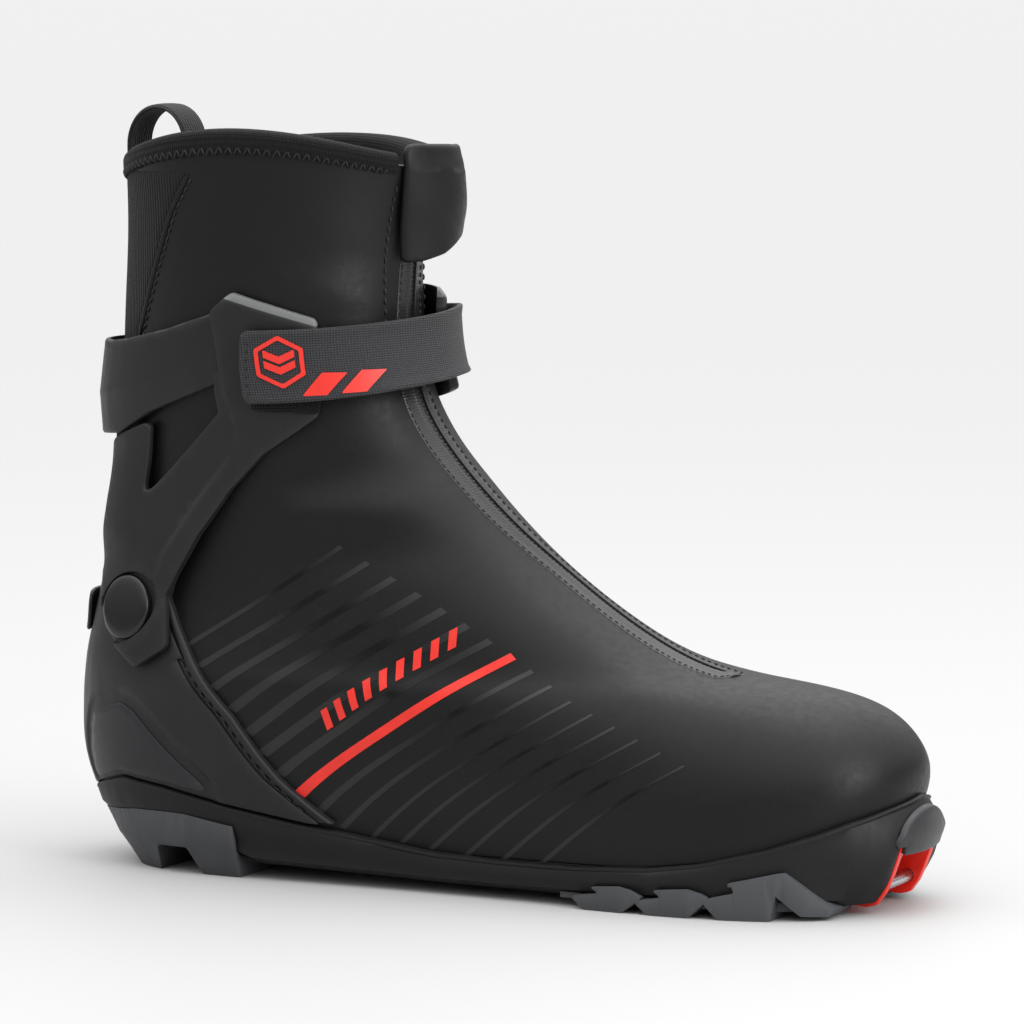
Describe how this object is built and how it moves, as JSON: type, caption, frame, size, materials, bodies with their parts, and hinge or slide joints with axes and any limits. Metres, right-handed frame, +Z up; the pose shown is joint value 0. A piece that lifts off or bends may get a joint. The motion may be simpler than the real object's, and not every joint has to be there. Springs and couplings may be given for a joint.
{
  "type": "cross country ski boot",
  "caption": "Cross country skate boot with a stiff sole, a toe bar in a red insert, a zipped upper over an inner boot, and a hinged ankle cuff with a strap.",
  "frame": {"origin": "bottom centre of the boot's bounding box, on the ground under the lugs", "axes": "+X from the heel to the toe, +Y to the medial side of a right foot, +Z up"},
  "size_m": [0.2938, 0.096, 0.2471],
  "materials": {
    "coated_fabric": "black coated fabric, satin, with printed dark grey stripes",
    "knit": "black ribbed knit, matte",
    "lining": "black brushed lining, matte",
    "shell_plastic": "black moulded plastic, fine grain",
    "gloss_plastic": "black smooth plastic",
    "sole_rubber": "black rubber, satin",
    "tread": "dark grey rubber, matte",
    "red_plastic": "bright red moulded plastic",
    "steel": "ground steel",
    "webbing": "dark grey woven webbing",
    "board": "pressed fibre board",
    "composite": "fibre reinforced plastic",
    "lace": "round woven cord"
  },
  "bodies": {
    "shell": {"outsole": "sole_rubber", "heel_tread": "tread", "forefoot_tread_lateral": "tread", "forefoot_tread_medial": "tread", "toe_guard": "tread", "binding_insert": "red_plastic", "toe_bar": "steel", "sole_plate": "composite", "lasting_board": "board", "insole": "lining", "upper_vamp": "coated_fabric", "flex_zone": "knit", "zipper_instep": "webbing", "zipper_bend": "webbing", "inner_boot_foot": "lining", "toe_puff": "composite", "eyestay_lateral": "webbing", "eyestay_medial": "webbing", "speed_lace": "lace", "lace_lock": "gloss_plastic", "heel_counter": "shell_plastic", "counter_trim_lateral": "shell_plastic", "counter_trim_medial": "shell_plastic", "counter_inlay_lateral": "gloss_plastic", "counter_inlay_medial": "gloss_plastic", "heel_tab": "shell_plastic", "rivet_pin_lateral": "steel", "rivet_pin_medial": "steel"},
    "cuff": {"upper_shaft_lateral": "coated_fabric", "upper_shaft_medial": "coated_fabric", "achilles_panel": "knit", "collar_binding": "knit", "pull_loop": "webbing", "inner_boot_shaft": "lining", "zipper_tape_lateral": "webbing", "zipper_tape_medial": "webbing", "zipper_chain": "shell_plastic", "cuff_wing_lateral": "shell_plastic", "cuff_wing_medial": "shell_plastic", "cuff_band": "shell_plastic", "rivet_cap_lateral": "gloss_plastic", "rivet_cap_medial": "gloss_plastic", "strap_hook_pad": "webbing"},
    "strap": {"ankle_strap": "webbing", "strap_anchor_rivet": "gloss_plastic"},
    "flap": {"collar_flap": "coated_fabric"},
    "slider": {"zipper_slider": "gloss_plastic"},
    "pull": {"zipper_pull": "gloss_plastic"}
  },
  "joints": [
    {"name": "cuff_flex", "type": "hinge", "parent": "shell", "child": "cuff", "pos_m": [-0.11445, 0, 0.0857], "axis": [0, 1, 0], "range_deg": [-4, 14], "stiffness_Nm_per_rad": 5, "deforming": ["flex_zone", "zipper_bend"]},
    {"name": "strap_open", "type": "hinge", "parent": "cuff", "child": "strap", "pos_m": [-0.06645, 0.0425, 0.1662], "axis": [0, 0, 1], "range_deg": [0, 80]},
    {"name": "collar_flap_open", "type": "hinge", "parent": "cuff", "child": "flap", "pos_m": [-0.04255, 0.0337, 0.2176], "axis": [0.217, 0, 0.9762], "range_deg": [0, 90]},
    {"name": "zip_run", "type": "hinge", "parent": "cuff", "child": "slider", "pos_m": [0.0779, 0, 0.1892], "axis": [0, -1, 0], "range_deg": [0, 22]},
    {"name": "zip_pull", "type": "hinge", "parent": "slider", "child": "pull", "pos_m": [-0.0235, 0, 0.2105], "axis": [0, -1, 0], "range_deg": [0, 8]}
  ]
}
